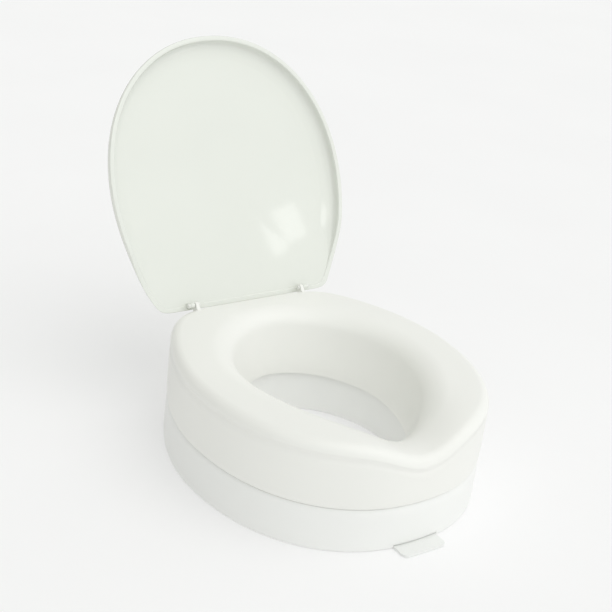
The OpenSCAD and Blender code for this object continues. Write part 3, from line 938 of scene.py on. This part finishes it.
# the aimed point lies this far beside and above the middle of the body, across the view
AIM_RIGHT, AIM_UP = -0.02004, 0.09878
back = Vector((sin(AZ) * cos(EL), -cos(AZ) * cos(EL), sin(EL)))
level = Vector((cos(AZ), sin(AZ), 0))
upright = back.cross(level)
right = level * cos(ROLL) + upright * sin(ROLL)
up = upright * cos(ROLL) - level * sin(ROLL)
aim = row(0, 0, 100) + right * AIM_RIGHT + up * AIM_UP
camera = bpy.data.objects.new("camera", bpy.data.cameras.new("camera"))
bpy.context.scene.collection.objects.link(camera)
camera.data.lens, camera.data.sensor_width, camera.data.sensor_fit = FOCAL, SENSOR, "HORIZONTAL"
camera.data.clip_start, camera.data.clip_end = 0.05, 60
turn = Matrix((right, up, back)).transposed().to_4x4()
camera.matrix_world = Matrix.Translation(aim + back * DIST) @ turn
bpy.context.scene.camera = camera

FLOOR_RADIUS, FLOOR_GAP, FLOOR_GLOW = 9, 0.0004, 0.36


def floor_material():
    """Pale matt paper; it is clear from below, so the underside can be looked at."""
    n = Finish("floor_paper")
    n.link(n.mix(n.between(n.noise(3, 4), 0, 1), (0.575, 0.574, 0.573), (0.585, 0.584, 0.583)),
           n.shader.inputs["Base Color"])
    n.shader.inputs["Emission Color"].default_value = (1, 1, 1, 1)
    n.shader.inputs["Emission Strength"].default_value = FLOOR_GLOW
    n.shader.inputs["Roughness"].default_value = 0.9
    n.shader.inputs["Specular IOR Level"].default_value = 0.1
    n.link(n.bump(n.noise(500, 3), 0.1, 0.0002), n.shader.inputs["Normal"])
    clear = n.add("ShaderNodeBsdfTransparent")
    mixed = n.add("ShaderNodeMixShader")
    n.link(n.add("ShaderNodeNewGeometry").outputs["Backfacing"], mixed.inputs[0])
    n.link(n.shader.outputs[0], mixed.inputs[1])
    n.link(clear.outputs[0], mixed.inputs[2])
    n.link(mixed.outputs[0], n.tree.nodes["Material Output"].inputs["Surface"])
    return n.mat


def add_floor():
    """A round floor just under the seat's lower edge."""
    bm = bmesh.new()
    bmesh.ops.create_circle(bm, cap_ends=True, segments=96, radius=FLOOR_RADIUS)
    mesh = bpy.data.meshes.new("floor")
    bm.to_mesh(mesh)
    bm.free()
    floor = bpy.data.objects.new("floor", mesh)
    floor.location = (0, 0, CAD_BOX[0].z - FLOOR_GAP)
    floor.data.materials.append(floor_material())
    bpy.context.scene.collection.objects.link(floor)


def studio_world():
    """Soft light from all round, dimmer and warmer at the left of the view than at the right."""
    world = bpy.data.worlds.new("studio")
    bpy.context.scene.world = world
    world.use_nodes = True
    sky = Nodes(world.node_tree, "Generated")
    across = sky.add("ShaderNodeVectorMath", operation="DOT_PRODUCT")
    across.inputs[1].default_value = right
    sky.link(sky.coord, across.inputs[0])
    side = across.outputs["Value"]
    glow = world.node_tree.nodes["Background"]
    sky.link(sky.between(side, 0.48, 0.94, -1, 1), glow.inputs["Strength"])
    sky.link(sky.mix(sky.between(side, 0, 1, -1, 1), (0.98, 0.985, 0.94), (0.97, 0.985, 1.0)),
             glow.inputs["Color"])


def add_light(data, toward, at=(0, 0, 0)):
    """A light that shines from the direction toward."""
    obj = bpy.data.objects.new(data.name, data)
    obj.location = at
    obj.rotation_mode = "QUATERNION"
    obj.rotation_quaternion = Vector(toward).to_track_quat("Z", "Y")
    bpy.context.scene.collection.objects.link(obj)


def sun(name, toward, strength, angle, color):
    """A wide, soft sun; its angle is in degrees."""
    data = bpy.data.lights.new(name, "SUN")
    data.energy, data.angle, data.color = strength, radians(angle), color
    add_light(data, toward)


def panel(name, at, target, width, height, power):
    """A rectangular lamp that faces the target."""
    data = bpy.data.lights.new(name, "AREA")
    data.shape, data.size, data.size_y = "RECTANGLE", width, height
    data.energy = power
    add_light(data, at - target, at)


add_floor()
studio_world()
overhead = Vector((0, 0, 1))
sun("key", right * 0.55 + back * 0.35 + overhead * 0.9, 0.70, 60, (1.0, 0.99, 0.955))
sun("fill", back * 0.9 + overhead * 0.25 - right * 0.1, 0.28, 60, (0.93, 0.97, 1.0))


def on_lid(x, v):
    """A point of the open lid's inner face: x across it, v from its hinge end line."""
    return OPENED @ Vector(lid_point(atan2(x, v - LID_WIDE), hypot(x, v - LID_WIDE), 0, True))


# a bright window that the open lid's inner face mirrors towards the camera
GLINT_X, GLINT_V = 90, 80
glint = on_lid(GLINT_X, GLINT_V)
facing = (on_lid(GLINT_X + 2, GLINT_V) - on_lid(GLINT_X - 2, GLINT_V)).cross(
    on_lid(GLINT_X, GLINT_V + 2) - on_lid(GLINT_X, GLINT_V - 2)).normalized()
if facing.dot(back) < 0:
    facing.negate()
mirror = (glint - camera.matrix_world.translation).normalized().reflect(facing)
panel("window", glint + mirror * 0.45, glint, width=0.034, height=0.056, power=0.013)
bpy.context.scene.view_settings.view_transform = "Standard"
